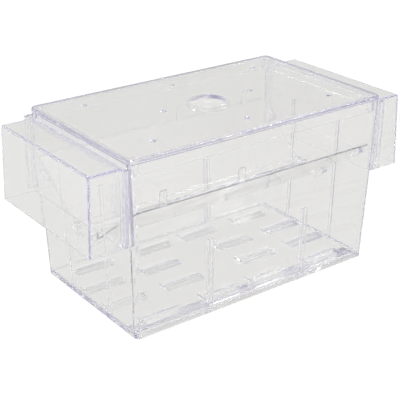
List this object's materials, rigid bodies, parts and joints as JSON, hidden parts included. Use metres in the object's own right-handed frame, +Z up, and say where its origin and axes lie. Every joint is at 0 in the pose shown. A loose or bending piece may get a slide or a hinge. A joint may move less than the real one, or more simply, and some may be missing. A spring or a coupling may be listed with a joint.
{
  "type": "floating fish breeding box",
  "caption": "Clear tapered tank with a slotted floor, a flat lid with a feed hole, a float at each end and sloping trap panels inside.",
  "frame": {"origin": "centre of the tank's underside", "axes": "+X along the tank's length towards the right float, +Y across the tank towards the back panel, +Z up"},
  "size_m": [0.251, 0.1192, 0.121],
  "materials": {
    "clear_body": "clear polished polystyrene",
    "clear_lid": "clear polished polystyrene",
    "clear_panel": "clear polished polystyrene",
    "clear_float": "clear polished polystyrene"
  },
  "bodies": {
    "tank": {"tank": "clear_body"},
    "front_panel": {"trap_front_panel": "clear_panel"},
    "back_panel": {"trap_back_panel": "clear_panel"},
    "lid": {"lid": "clear_lid"},
    "left_float": {"left_float": "clear_float"},
    "right_float": {"right_float": "clear_float"}
  },
  "joints": [
    {"name": "front_panel_lift", "type": "slide", "parent": "tank", "child": "front_panel", "axis": [0, 0, 1], "range_m": [0, 0.075]},
    {"name": "back_panel_lift", "type": "slide", "parent": "front_panel", "child": "back_panel", "axis": [0, 0, 1], "range_m": [0, 0.075]},
    {"name": "lid_lift", "type": "slide", "parent": "back_panel", "child": "lid", "axis": [0, 0, 1], "range_m": [0, 0.05]},
    {"name": "left_float_slide", "type": "slide", "parent": "tank", "child": "left_float", "axis": [0, 0, 1], "range_m": [0, 0.055]},
    {"name": "right_float_slide", "type": "slide", "parent": "tank", "child": "right_float", "axis": [0, 0, 1], "range_m": [0, 0.055]}
  ]
}
